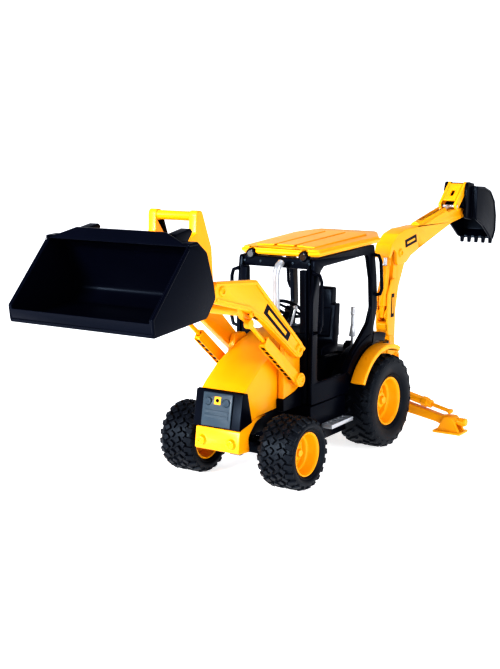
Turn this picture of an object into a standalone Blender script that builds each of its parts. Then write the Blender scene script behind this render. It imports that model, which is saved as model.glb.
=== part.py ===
"""Toy backhoe loader, about 1:16, as an assembly of separate moulded pieces.

The vehicle faces -Y, its left side is +X and it stands on Z = 0.  Lengths in this file are in
millimetres, measured from the middle of the front axle; the root empty carries the shift that
puts the origin under the middle of the whole machine.
"""
import math

import bmesh
import bpy
from mathutils import Matrix, Vector

MM = 0.001
GAP = 0.35                      # clearance kept between neighbouring pieces

# Driving dimensions
ORIGIN_SHIFT = -113.35           # front axle's Y, so that the origin is under the middle
FRONT_RADIUS = 24.8
FRONT_WIDTH = 27.7
FRONT_TRACK = 40.45             # half track
FRONT_RIM = 15.0
REAR_RADIUS = 35.0
REAR_WIDTH = 29.8
REAR_TRACK = 34.7
REAR_RIM = 18.2
WHEELBASE = 123.1
KINGPIN_X = 22.6
CHASSIS_HALF = 32.5             # half width of the sills under the cab
NOSE_HALF = 17.5
LOADER_HALF = 53.6              # half width of the loader bucket
ARM_IN = 23.7
ARM_OUT = 28.7
ARM_PIVOT = (27.2, 88.4)        # Y, Z of the loader arms' rear pivot
TILT_PIVOT = (-61.0, 140.0)
STRUT_FOOT = (27.5, 67.4)
STRUT_HEAD = (-29.0, 114.5)
SWING_Y = 197.0
BOOM_PIVOT = (210.0, 50.0)
ELBOW = (218.0, 133.0)
RAM_FOOT = (200.8, 84.0)
RAM_HEAD = (205.6, 134.5)
DIG_PIVOT = (338.0, 156.0)
LINK_FOOT = (322.0, 162.8)
LINK_HEAD = (340.0, 178.5)
BOOM_HALF = 4.0
DIPPER_HALF = 5.6
DIG_HALF = 16.0
LEG_Y = 185.0
LEG_PIVOT = (20.0, 17.5)        # X, Z
LEG_RAM_FOOT = (14.0, 29.5)
LEG_RAM_HEAD = (68.5, 16.4)
FOOT_PIVOT = (69.0, 10.0)

WHEEL_CENTRE = Vector((0, 60.0, 109.5))
COLUMN_AXIS = Vector((0, 0.64, 0.77)).normalized()

FINISHES = {                    # base colour, roughness, metallic
    "yellow": ((0.95, 0.47, 0.01), 0.35, 0.0),
    "black": ((0.012, 0.013, 0.022), 0.4, 0.0),
    "grey": ((0.13, 0.18, 0.25), 0.45, 0.0),
    "silver": ((0.62, 0.64, 0.67), 0.35, 0.3),
    "tyre": ((0.014, 0.014, 0.018), 0.75, 0.0),
}

for old in list(bpy.data.objects):
    bpy.data.objects.remove(old, do_unlink=True)

parts = bpy.data.collections.new("toy_backhoe_loader")
bpy.context.scene.collection.children.link(parts)
bodies = {}


# ---------------------------------------------------------------- shapes
def as_object(mesh):
    """Put a mesh in the parts collection as an object at the origin."""
    obj = bpy.data.objects.new("shape", mesh)
    parts.objects.link(obj)
    return obj


def baked(obj):
    """Turn an object and its modifiers, or a curve, into a plain mesh object with welded caps."""
    bpy.context.view_layer.update()
    evaluated = obj.evaluated_get(bpy.context.evaluated_depsgraph_get())
    mesh = bpy.data.meshes.new_from_object(evaluated)
    mesh.transform(obj.matrix_world)
    bpy.data.objects.remove(obj, do_unlink=True)
    edit = bmesh.new()
    edit.from_mesh(mesh)
    bmesh.ops.remove_doubles(edit, verts=edit.verts, dist=0.002 * MM)
    edit.to_mesh(mesh)
    edit.free()
    return as_object(mesh)


def box(low, high):
    """A block between two corners."""
    edit = bmesh.new()
    size = Vector(high) - Vector(low)
    middle = (Vector(high) + Vector(low)) / 2
    place = Matrix.Translation(middle * MM) @ Matrix.Diagonal((*(size * MM), 1.0))
    bmesh.ops.create_cube(edit, size=1.0, matrix=place)
    mesh = bpy.data.meshes.new("box")
    edit.to_mesh(mesh)
    edit.free()
    return as_object(mesh)


def round_bar(start, end, radius, sides=20):
    """A solid cylinder from one point to another."""
    start = Vector(start)
    end = Vector(end)
    turn = Vector((0, 0, 1)).rotation_difference(end - start).to_matrix().to_4x4()
    edit = bmesh.new()
    bmesh.ops.create_cone(edit, cap_ends=True, segments=sides, radius1=radius * MM,
                          radius2=radius * MM, depth=(end - start).length * MM,
                          matrix=Matrix.Translation((start + end) * MM / 2) @ turn)
    mesh = bpy.data.meshes.new("bar")
    edit.to_mesh(mesh)
    edit.free()
    return as_object(mesh)


def rounded(corners, steps=3):
    """Replace each corner that has a radius as its third value by an arc."""
    points = []
    count = len(corners)
    for index, corner in enumerate(corners):
        here = Vector(corner[:2])
        radius = corner[2] if len(corner) > 2 else 0.0
        before = (Vector(corners[index - 1][:2]) - here).normalized()
        after = (Vector(corners[(index + 1) % count][:2]) - here).normalized()
        half = before.angle(after) / 2
        if radius == 0.0 or half > math.radians(88):
            points.append(here)
            continue
        centre = here + (before + after).normalized() * radius / math.sin(half)
        first = here + before * radius / math.tan(half) - centre
        sweep = math.pi - 2 * half
        if first.y * before.x - first.x * before.y < 0:
            sweep = -sweep
        for step in range(steps + 1):
            angle = sweep * step / steps
            turn = Matrix.Rotation(angle, 2)
            points.append(centre + turn @ first)
    return points


def prism(axis, corners, low, high, holes=()):
    """A flat outline, with its holes, given thickness along an axis."""
    curve = bpy.data.curves.new("outline", "CURVE")
    curve.dimensions = "2D"
    curve.fill_mode = "BOTH"
    curve.extrude = (high - low) / 2 * MM
    for loop in (corners, *holes):
        points = rounded(loop)
        spline = curve.splines.new("POLY")
        spline.points.add(len(points) - 1)
        for target, point in zip(spline.points, points):
            target.co = (point.x * MM, point.y * MM, 0.0, 1.0)
        spline.use_cyclic_u = True
    obj = bpy.data.objects.new("outline", curve)
    parts.objects.link(obj)
    middle = (low + high) / 2 * MM
    if axis == "X":
        obj.rotation_euler = (math.pi / 2, 0, math.pi / 2)
        obj.location = (middle, 0, 0)
    elif axis == "Y":
        obj.rotation_euler = (math.pi / 2, 0, 0)
        obj.location = (0, middle, 0)
    else:
        obj.location = (0, 0, middle)
    return baked(obj)


def turned(profile, centre, side, steps=36):
    """A closed profile of (radius, offset along the axle) turned about X; side is +1 or -1."""
    mesh = bpy.data.meshes.new("profile")
    points = [(radius * MM, 0.0, offset * MM) for radius, offset in profile]
    edges = [(index, (index + 1) % len(points)) for index in range(len(points))]
    mesh.from_pydata(points, edges, [])
    obj = as_object(mesh)
    screw = obj.modifiers.new("turn", "SCREW")
    screw.steps = steps
    screw.render_steps = steps
    screw.use_merge_vertices = True
    screw.merge_threshold = 0.00001
    obj.rotation_euler = (0, side * math.pi / 2, 0)
    obj.location = Vector(centre) * MM
    return baked(obj)


def bent_tube(points, radius):
    """A round rod that follows points."""
    curve = bpy.data.curves.new("route", "CURVE")
    curve.dimensions = "3D"
    curve.bevel_depth = radius * MM
    curve.bevel_resolution = 2
    curve.use_fill_caps = True
    spline = curve.splines.new("POLY")
    spline.points.add(len(points) - 1)
    for target, point in zip(spline.points, points):
        target.co = (*(Vector(point) * MM), 1.0)
    obj = bpy.data.objects.new("route", curve)
    parts.objects.link(obj)
    return baked(obj)


def combine(operation, target, others):
    """Apply exact Booleans one after another and use up the other shapes."""
    for other in others:
        boolean = target.modifiers.new("combine", "BOOLEAN")
        boolean.operation = operation
        boolean.object = other
        target = baked(target)
        bpy.data.objects.remove(other, do_unlink=True)
    return target


def joined(target, *others):
    return combine("UNION", target, others)


def cut(target, *cutters):
    return combine("DIFFERENCE", target, cutters)


def reshape(obj, rule):
    """Move every vertex by a rule from (x, y, z) in millimetres to (x, y, z)."""
    for vertex in obj.data.vertices:
        vertex.co = Vector(rule(*(vertex.co / MM))) * MM
    return obj


def mirrored(obj):
    """A copy of a shape on the other side of the machine."""
    edit = bmesh.new()
    edit.from_mesh(obj.data)
    bmesh.ops.scale(edit, vec=(-1, 1, 1), verts=edit.verts)
    bmesh.ops.reverse_faces(edit, faces=edit.faces)
    mesh = bpy.data.meshes.new("mirrored")
    edit.to_mesh(mesh)
    edit.free()
    return as_object(mesh)


# ---------------------------------------------------------------- assembly
def body(name, pivot, parent=None):
    """An empty on a moving group's joint; the root's empty is the machine's own origin."""
    empty = bpy.data.objects.new(name, None)
    empty.empty_display_size = 0.01
    parts.objects.link(empty)
    pivot = Vector(pivot)
    if parent is None:
        empty.location = (0, ORIGIN_SHIFT * MM, 0)
    else:
        empty.parent = bodies[parent][0]
        empty.location = (pivot - bodies[parent][1]) * MM
    bodies[name] = (empty, pivot)


def node(name, obj, owner, finish):
    """Name a finished shape, give it a material and hang it on its group's pivot."""
    empty, pivot = bodies[owner]
    obj.name = name
    obj.data.name = name
    obj.data.transform(Matrix.Translation(-pivot * MM))
    obj.parent = empty
    colour, roughness, metallic = FINISHES[finish]
    material = bpy.data.materials.new(f"{name} {finish}")
    material.use_nodes = True
    shader = material.node_tree.nodes["Principled BSDF"]
    shader.inputs["Base Color"].default_value = (*colour, 1.0)
    shader.inputs["Roughness"].default_value = roughness
    shader.inputs["Metallic"].default_value = metallic
    obj.data.materials.clear()
    obj.data.materials.append(material)
    obj.data.shade_smooth()
    obj.data.set_sharp_from_angle(angle=math.radians(35))


SIDES = (("left", 1), ("right", -1))


def on_side(obj, side):
    """Keep a left-hand shape, or turn it into its right-hand twin."""
    if side > 0:
        return obj
    twin = mirrored(obj)
    bpy.data.objects.remove(obj, do_unlink=True)
    return twin


# ---------------------------------------------------------------- chassis and nose
def chassis_frame():
    nose_rail = box((-9, -16, 32.5), (9, 38, 44))
    sills = box((-CHASSIS_HALF, 36, 20), (CHASSIS_HALF, 84, 46.6))
    tail = box((-16.5, 83, 26), (16.5, 172, 46.6))
    shape = joined(nose_rail, sills, tail)
    for end in (-9.5, 5.5):
        shape = joined(shape, box((-4.5, end, 19), (4.5, end + 4, 33)))
    shape = joined(shape, round_bar((0, -9, 24.8), (0, 9, 24.8), 2.0))
    return cut(shape, round_bar((-20, WHEELBASE, REAR_RADIUS), (20, WHEELBASE, REAR_RADIUS), 3.3))


def bumper():
    side = [(-31, 26.5, 2), (-17.5, 25.5, 1), (-18.5, 36, 6), (-9, 44.5, 8), (2, 46.6),
            (2, 47.0), (-8.5, 47.0), (-28.7, 41.6)]
    shape = prism("X", side, -17.9, 17.9)
    shape = cut(shape, box((-9.4, -16.4, 20), (9.4, 5, 44.4)))
    for x in (-11.9, 11.9):
        shape = joined(shape, round_bar((x, -33, 33), (x, -29, 33), 3.2, 16))
    return shape


def hood():
    """An open shell: a tapered block with a crowned top, emptied from below and behind."""
    side = [(-28.2, 42.9), (-23.7, 65.0, 3), (-17.5, 70.5, 8), (-3.2, 80.4), (14.8, 88.2), (37, 95.5),
            (37, 58), (30, 57), (21.7, 48.7), (-8, 47.4)]
    shape = prism("X", side, -NOSE_HALF, NOSE_HALF)
    edit = bmesh.new()
    edit.from_mesh(shape.data)
    for x in (-14, -7, 0, 7, 14):
        whole = list(edit.verts) + list(edit.edges) + list(edit.faces)
        bmesh.ops.bisect_plane(edit, geom=whole, plane_co=(x * MM, 0, 0), plane_no=(1, 0, 0))
    edit.normal_update()
    doomed = [face for face in edit.faces if face.normal.z < -0.3 or face.normal.y > 0.5]
    bmesh.ops.delete(edit, geom=doomed, context="FACES")
    edit.to_mesh(shape.data)
    edit.free()

    def flare(x, y, z):
        rear = min(max((y + 24) / 61, 0.0), 1.0)
        crown = 5.0 * rear * (1 - (x / NOSE_HALF) ** 2) if z > 66 else 0.0
        return x * (1 + 0.03 * rear), y, z + crown
    shape = reshape(shape, flare)
    wall = shape.modifiers.new("wall", "SOLIDIFY")
    wall.thickness = 1.6 * MM
    wall.offset = -1.0
    return baked(shape)


def front_slope(z):
    """Y of the nose's leaning front face at a height."""
    return -28.4 + (z - 42) * (4.7 / 23)


def grille_surround():
    face = [(front_slope(42.4) - GAP, 42.4), (front_slope(66.5) - GAP, 66.5),
            (front_slope(66.5) - 2.2, 66.5), (front_slope(42.4) - 2.2, 42.4)]
    shape = prism("X", face, -18.9, 18.9)
    for side in (-1, 1):
        cheek = [(front_slope(42.4) - 1.2, 42.4), (-15.5, 45.4), (-20.2, 66.0), (front_slope(66.5) - 1.2, 66.5)]
        low, high = sorted((side * (NOSE_HALF + 0.5), side * 18.9))
        shape = joined(shape, prism("X", cheek, low, high))
    return shape


def grille_panel():
    low = 43.5
    high = 65.5
    face = [(front_slope(low) - 2.5, low), (front_slope(high) - 2.5, high),
            (front_slope(high) - 3.6, high), (front_slope(low) - 3.6, low)]
    shape = prism("X", face, -11.7, 11.7)
    for x in (-7.4, 7.4):
        y = front_slope(59.8)
        lamp = round_bar((x, y - 4.6, 59.8), (x, y - 3.2, 59.8), 2.6, 16)
        shape = joined(shape, lamp)
    return shape


def arc(radius, start, stop, steps, centre):
    """Points of an arc about a Y, Z centre, angles in degrees."""
    points = []
    for step in range(steps + 1):
        angle = math.radians(start + (stop - start) * step / steps)
        points.append((centre[0] + radius * math.cos(angle), centre[1] + radius * math.sin(angle)))
    return points


def wheel_arch(inner, outer, front, back):
    """Outline of a band around the rear wheel between two angles."""
    centre = (WHEELBASE, REAR_RADIUS)
    return arc(outer, front, back, 14, centre) + arc(inner, back, front, 14, centre)


# ---------------------------------------------------------------- cab
def toe(x, y, z):
    """The cab widens towards the back."""
    return x + math.copysign((y - 48) * 0.06, x), y, z


def cab_side():
    outside = [(38.5, 47, 1), (38.5, 60), (41, 117), (44.5, 148.2, 2), (121, 151.2, 2), (124.5, 128, 4),
               (125.5, 104, 6), (121, 91, 6), (119, 75.5, 2), (103, 72.0), (92, 61.5), (86, 47, 1)]
    opening = [(47.5, 62, 3), (47.8, 100), (51.5, 138.5, 4), (56, 142.2, 3), (112.5, 144.8, 4), (117, 126, 4),
               (118, 105, 5), (113, 94, 5), (104, 86, 6), (92, 76, 6), (82, 62, 4)]
    shape = prism("X", outside, 28.0, 31.2, (opening,))
    front_handle = [(30, 43.5, 139), (35.5, 43.5, 137.5), (37, 43.5, 133), (37, 42.5, 104),
                    (35.5, 42.3, 98.5), (30, 42.2, 97)]
    rear_handle = [(30, 121, 144), (34.5, 121.8, 143), (36, 122, 139), (36, 123.5, 119),
                   (34.5, 123.8, 114.5), (30, 123.3, 113.5)]
    for route in (front_handle, rear_handle):
        shape = joined(shape, bent_tube(route, 1.3))
    shape = reshape(shape, toe)
    return joined(shape, prism("X", wheel_arch(44.0, 50.5, 146, 70), 30.0, 35.4))


def cab_tub():
    """Floor, front wall, dashboard, seat box and rear console in one moulding."""
    floor = joined(box((-27, 39.5, 47), (27, 85.5, 51)), box((-18.6, 80, 47), (18.6, 117, 51)))
    for low, high in ((18, 27.4), (-27.4, -18)):
        floor = joined(floor, prism("X", wheel_arch(38.2, 41.0, 161, 72), low, high))
    wall = box((-27, 39.5, 50), (27, 43, 97))
    dash = prism("X", [(42, 84), (58, 90, 3), (56, 99, 3), (42, 100)], -11, 11)
    seat_box = box((-11, 90, 50), (11, 112, 69))
    rear_wall = box((-18.6, 113.5, 50), (18.6, 117, 68.6))
    for low, high in ((21.8, 27), (-27, -21.8)):
        wall = joined(wall, box((low, 39.6, 96), (high, 43.9, 140.6)))
    column = round_bar(WHEEL_CENTRE - COLUMN_AXIS * 16, WHEEL_CENTRE - COLUMN_AXIS * 3.5, 2.4)
    console = box((-12, 116, 47), (12, 141, 70))
    for x in (-7, 7):
        console = joined(console, round_bar((x, 132.8, 69), (x, 132.8, 75), 2.4, 12))
    return joined(floor, wall, dash, seat_box, rear_wall, column, console)


def cab_top_frame():
    """Header ring under the roof, with the two round work lamps on its front bar."""
    bar = box((-27.2, 44.5, 141), (27.2, 49.5, 148))
    bar = joined(bar, box((-30.5, 113, 144.6), (30.5, 118.5, 150.2)))
    for x in (-14, 14):
        bar = joined(bar, prism("X", [(48, 144), (48, 147.5), (114, 149.5), (114, 146)], x - 1.5, x + 1.5))
    for x in (-21.7, 21.7):
        bar = joined(bar, round_bar((x, 44.6, 149.4), (x, 48.2, 149.4), 3.5, 20))
    return bar


def roof():
    plan = [(-24, 46.2, 3), (24, 46.2, 3), (31.5, 49, 4), (36.5, 126, 5), (25.5, 144, 6),
            (-25.5, 144, 6), (-36.5, 126, 5), (-31.5, 49, 4)]
    shape = prism("Z", plan, 151.6, 156.2)

    def slope(x, y, z):
        across = 1 - (x / 37) ** 2
        top = 1.5 if z > 154 else 0.0
        return x, y, z - 2.6 + (y - 46) * 0.038 + top * across
    shape = reshape(shape, slope)
    for x in (-21.7, 21.7):
        shape = cut(shape, round_bar((x, 40, 149.4), (x, 50, 149.4), 3.9, 20))
    return shape


def seat():
    side = [(87, 71, 1), (87, 78, 2.5), (103, 79, 3), (108.5, 119, 2), (115, 119, 2), (113, 92), (110, 71, 1)]
    shape = prism("X", side, -11, 11)
    for sign in (-1, 1):
        low, high = sorted((sign * 7.5, sign * 14))
        shape = cut(shape, box((low, 100, 107), (high, 120, 125)))
    return joined(shape, round_bar((0, 101, 69.4), (0, 101, 73), 5.0))


def steering_wheel():
    edit = bmesh.new()
    bmesh.ops.create_circle(edit, cap_ends=False, segments=8, radius=1.2 * MM,
                            matrix=Matrix.Translation((10.5 * MM, 0, 0)) @ Matrix.Rotation(math.pi / 2, 4, "X"))
    bmesh.ops.spin(edit, geom=edit.verts[:] + edit.edges[:], cent=(0, 0, 0), axis=(0, 0, 1),
                   angle=math.tau, steps=32, use_merge=True)
    bmesh.ops.remove_doubles(edit, verts=edit.verts, dist=0.01 * MM)
    bmesh.ops.recalc_face_normals(edit, faces=edit.faces)
    mesh = bpy.data.meshes.new("rim")
    edit.to_mesh(mesh)
    edit.free()
    shape = as_object(mesh)
    for turn in (0, 1):
        angle = turn * math.pi / 2 + math.pi / 4
        reach = Vector((math.cos(angle), math.sin(angle), 0)) * 10.4
        shape = joined(shape, round_bar(-reach, reach, 0.9, 8))
    shape = joined(shape, round_bar((0, 0, -3), (0, 0, 1.4), 2.6, 16))
    tilt = Vector((0, 0, 1)).rotation_difference(COLUMN_AXIS).to_matrix().to_4x4()
    shape.data.transform(Matrix.Translation(WHEEL_CENTRE * MM) @ tilt)
    return shape


def exhaust():
    points = [(6.4, 33.8, 100.5), (6.4, 33.8, 136.5), (6.6, 34.3, 140), (6.9, 36.2, 143.2),
              (7.4, 39.6, 145.6)]
    return bent_tube(points, 2.6)


def control_lever(x):
    stick = round_bar((x, 138.5, 70.4), (x, 140, 96), 1.1, 10)
    return joined(stick, round_bar((x, 139.9, 94), (x, 140.2, 100), 1.9, 12))


# ---------------------------------------------------------------- outside fittings
def step_board():
    shape = box((CHASSIS_HALF - 0.6 + GAP + 0.6, 50, 29), (41.5, 80, 32))
    for index in range(5):
        y = 53.2 + index * 5.4
        shape = cut(shape, box((34.4, y, 28), (39.8, y + 2.6, 33)))
    return shape


def fender():
    return prism("X", wheel_arch(39.0, 42.5, 152, 62), 35.8, 46.5)


def loader_tower():
    plate = [(16, 47.2), (37.2, 47.2), (37.2, 84), (33, 96, 4), (21, 96, 4), (17, 84)]
    shape = prism("X", plate, 18.6, 23.3)
    shape = joined(shape, round_bar((23, *ARM_PIVOT), (ARM_OUT - 0.4, *ARM_PIVOT), 2.4))
    return joined(shape, round_bar((23, *STRUT_FOOT), (28.2, *STRUT_FOOT), 1.8))


def rear_frame():
    beam = box((-24, 172.4, 22), (24, 181.6, 52))
    for z in (30, 62):
        lug = prism("Z", [(-7, 181), (7, 181), (7, SWING_Y + 6.5, 6.4), (-7, SWING_Y + 6.5, 6.4)], z - 2, z + 2)
        beam = joined(beam, lug)
    beam = joined(beam, box((-7, 176, 50), (7, 181.6, 64)))
    for sign in (-1, 1):
        for foot in (LEG_PIVOT, LEG_RAM_FOOT):
            pin = round_bar((sign * foot[0], 178, foot[1]), (sign * foot[0], LEG_Y + 3.2, foot[1]), 2.0)
            beam = joined(beam, pin)
        beam = joined(beam, box((min(sign * 15, sign * 24), 172.4, 14), (max(sign * 15, sign * 24), 181.6, 23)))
    return joined(beam, round_bar((0, SWING_Y, 29), (0, SWING_Y, 63), 2.5))


# ---------------------------------------------------------------- wheels and front axle
def tyre_profile(radius, width, rim):
    inner = rim + GAP
    half = width / 2
    wall = [(inner, half * 0.80), (inner + 1.8, half * 0.95), (inner + (radius - inner) * 0.5, half),
            (radius - 2.0, half * 0.90), (radius, half * 0.74)]
    return wall + [(r, -offset) for r, offset in reversed(wall)]


def rim_profile(rim, width, bore):
    half = width / 2
    return [(bore, half * 0.52), (5.2, half * 0.52), (5.6, half * 0.16), (rim - 3.4, half * 0.10),
            (rim - 1.6, half * 0.70), (rim - 1.3, half * 0.84), (rim, half * 0.86), (rim, -half * 0.84),
            (rim - 1.6, -half * 0.84), (rim - 1.8, -half * 0.12), (6.0, -half * 0.16), (6.0, -half * 0.62),
            (bore, -half * 0.62)]


def axle_beam():
    shape = box((-18.4, -4, 20.8), (18.4, 4, 28.8))
    for sign in (-1, 1):
        for z in (18.4, 28.6):
            lug = prism("Z", [(sign * 14, -3), (sign * 25.5, -3, 2.9), (sign * 25.5, 3, 2.9), (sign * 14, 3)],
                        z, z + 2.4)
            shape = joined(shape, lug)
        pin = (sign * KINGPIN_X, 0)
        shape = cut(shape, round_bar((*pin, 15), (*pin, 35), 1.7, 16))
    return cut(shape, round_bar((0, -12, 24.8), (0, 12, 24.8), 2.4))


def knuckle():
    block = box((20.2, -3, 21.2), (25.0, 3, 28.2))
    pin = round_bar((KINGPIN_X, 0, 18.4), (KINGPIN_X, 0, 31.0), 1.3, 16)
    stub = round_bar((24, 0, FRONT_RADIUS), (FRONT_TRACK + 6, 0, FRONT_RADIUS), 2.2)
    arm = box((20.2, 2, 22.2), (22.8, 14.4, 24.8))
    return joined(block, pin, stub, arm)


def tie_rod():
    return joined(round_bar((-19, 12.5, 26.6), (19, 12.5, 26.6), 1.2, 12),
                  box((-23.2, 10.7, 25.3), (-18.4, 14.3, 27.9)), box((18.4, 10.7, 25.3), (23.2, 14.3, 27.9)))


# ---------------------------------------------------------------- loader
def loader_arm():
    side = [(-68.5, 146.6, 3), (-22.5, 142.4, 4), (36.5, 88.3, 5.5), (28.8, 80.6, 5.5), (-14, 113, 3),
            (-32, 123.3, 3), (-68, 133.3, 2)]
    shape = prism("X", side, ARM_IN, ARM_OUT)
    shape = cut(shape, round_bar((20, *ARM_PIVOT), (32, *ARM_PIVOT), 2.75))
    return cut(shape, round_bar((20, *TILT_PIVOT), (32, *TILT_PIVOT), 2.55))


def cross_member():
    """Round tube under the knees that ties both arms together, with a bracket at each end."""
    reach = ARM_IN - GAP
    tube = round_bar((-reach, -25.5, 121.5), (reach, -25.5, 121.5), 3.2)
    bracket = [(-34, 128, 1), (-22, 126, 1), (-18, 118, 2), (-24, 114, 2), (-31, 118, 2)]
    for low, high in ((reach - 3.8, reach), (-reach, 3.8 - reach)):
        tube = joined(tube, prism("X", bracket, low, high))
    return tube


def strut_direction():
    return (Vector(STRUT_HEAD) - Vector(STRUT_FOOT)).normalized()


def along_strut(distance, offset=0.0):
    """A point in the strut's plane: distance up from its foot, offset square to it."""
    way = strut_direction()
    return Vector(STRUT_FOOT) + way * distance + Vector((-way.y, way.x)) * offset


def strut_barrel():
    """Square channel with rungs, open at the top where the rod slides in."""
    corners = [along_strut(-4, -3.4), along_strut(52, -3.4), along_strut(52, 3.4), along_strut(-4, 3.4)]
    shape = prism("X", [(*corners[0], 3), tuple(corners[1]), tuple(corners[2]), (*corners[3], 3)], 23.8, 28.6)
    start = along_strut(14)
    end = along_strut(57)
    shape = cut(shape, round_bar((26.2, *start), (26.2, *end), 1.85, 16))
    shape = cut(shape, round_bar((20, *STRUT_FOOT), (28.5, *STRUT_FOOT), 2.15))
    return joined(shape, round_bar((28.4, *STRUT_FOOT), (30.6, *STRUT_FOOT), 4.9, 24))


def strut_rod():
    length = (Vector(STRUT_HEAD) - Vector(STRUT_FOOT)).length
    start = along_strut(41)
    end = along_strut(length - 2)
    rod = round_bar((26.2, *start), (26.2, *end), 1.5, 14)
    return joined(rod, round_bar((24.2, *STRUT_HEAD), (28.2, *STRUT_HEAD), 3.2, 18))


def loader_bucket():
    side = [(-159.9, 128.8, 1), (-161.3, 139.2, 0.8), (-127.2, 174.5, 1), (-126, 177.2, 1), (-118.6, 177.6, 1.5),
            (-109.8, 170.6, 4), (-104.1, 153), (-102.1, 143, 4), (-110.9, 132.7, 4)]
    hollow = [(-172, 139.0), (-161.3, 137.4), (-148, 132.2, 8), (-112.2, 135.4, 4), (-104.6, 143.6, 4),
              (-106.5, 152.8), (-111.9, 169.2, 4), (-119.2, 175.6, 3), (-129, 175.6), (-170, 177)]
    shape = prism("X", side, -LOADER_HALF, LOADER_HALF)
    shape = cut(shape, prism("X", hollow, -LOADER_HALF + 2.2, LOADER_HALF - 2.2))
    guard = prism("Y", [(-53.4, 175.2), (-33.5, 182.3), (33.5, 182.3), (53.4, 175.2)], -127.2, -125.2)
    shape = joined(shape, reshape(guard, lambda x, y, z: (x, y + (z - 175.2) * 0.62, z)))
    ear = [(-120, 177), (-118, 180.8, 1), (-104.6, 183.0, 1.2), (-102.6, 181, 1), (-110.6, 171.8)]
    for low, high in ((31.2, 38.3), (-38.3, -31.2)):
        shape = joined(shape, prism("X", ear, low, high))
    return shape


def hitch_frame():
    plate = [(-72.5, 187, 2), (-71.5, 190, 2), (-66.5, 189.6, 2.5), (-57.3, 166, 3), (-55.8, 140, 3),
             (-59, 132.8, 3), (-99.8, 137.5, 2), (-101.2, 160, 2), (-90, 170, 4), (-73, 176, 2)]
    shape = prism("X", plate, 12.8, 18.6)
    shape = joined(shape, prism("X", plate, -18.6, -12.8))
    shape = joined(shape, round_bar((-16, -68.9, 186.2), (16, -68.9, 186.2), 2.9))
    shape = joined(shape, round_bar((-ARM_IN + GAP, *TILT_PIVOT), (ARM_IN - GAP, *TILT_PIVOT), 3.6))
    shape = joined(shape, round_bar((-ARM_OUT, *TILT_PIVOT), (ARM_OUT, *TILT_PIVOT), 2.2))
    return joined(shape, prism("X", [(-99, 143), (-96, 143), (-96.6, 159), (-99.6, 159)], -16, 16))


# ---------------------------------------------------------------- backhoe
def swing_post():
    sleeve = round_bar((0, SWING_Y, 32.4), (0, SWING_Y, 59.6), 6.5, 24)
    cheek = [(SWING_Y - 1, 38, 2), (214, 38, 5), (216.8, 50, 5), (212, 57, 5), (SWING_Y - 1, 59, 2)]
    for low, high in ((BOOM_HALF + 0.4, 7.6), (-7.6, -BOOM_HALF - 0.4)):
        sleeve = joined(sleeve, prism("X", cheek, low, high))
    sleeve = cut(sleeve, round_bar((0, SWING_Y, 20), (0, SWING_Y, 80), 2.85))
    return joined(sleeve, round_bar((-7, *BOOM_PIVOT), (7, *BOOM_PIVOT), 2.4))


def boom():
    side = [(204.9, 46, 4), (205.9, 60), (205, 66.5, 2), (199.6, 73, 3), (199.2, 77.5, 1.5), (206, 79.5, 1),
            (206, 92), (211.8, 124), (213.6, 141.5, 5), (224, 141.5, 6), (233, 127, 3),
            (220.5, 105), (216, 87), (214, 65), (216, 46, 5)]
    shape = prism("X", side, -BOOM_HALF, BOOM_HALF)
    shape = cut(shape, round_bar((-9, *BOOM_PIVOT), (9, *BOOM_PIVOT), 2.75))
    shape = cut(shape, round_bar((-9, *ELBOW), (9, *ELBOW), 2.75))
    ear = [(207.5, 78, 1), (207.5, 90, 1), (200.8, 88.5, 3), (197.2, 84, 3), (200.8, 79.5, 3)]
    for low, high in ((2.4, BOOM_HALF - 0.1), (0.1 - BOOM_HALF, -2.4)):
        shape = joined(shape, prism("X", ear, low, high))
    cheek = [(208, 66), (200.2, 68.2, 2), (199.0, 78, 2), (200.4, 101, 2), (206, 113, 3), (211.5, 113), (213, 88),
             (212, 66)]
    for low, high in ((BOOM_HALF - 0.04, 5.4), (-5.4, 0.04 - BOOM_HALF)):
        shape = joined(shape, prism("X", cheek, low, high))
    return shape


DIG_ROD_SLOPE = math.radians(10.9)


def along_link_rod(distance, offset=0.0):
    """A point on the bucket ram rod's line, measured from its pin, with an offset square to it."""
    return (LINK_FOOT[0] + distance * math.cos(DIG_ROD_SLOPE) - offset * math.sin(DIG_ROD_SLOPE),
            LINK_FOOT[1] + distance * math.sin(DIG_ROD_SLOPE) + offset * math.cos(DIG_ROD_SLOPE))


def along_link(distance, offset=0.0):
    """A point measured along the tipping link from its foot, with an offset square to it."""
    way = (Vector(LINK_HEAD) - Vector(LINK_FOOT)).normalized()
    return tuple(Vector(LINK_FOOT) + way * distance + Vector((-way.y, way.x)) * offset)


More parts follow.
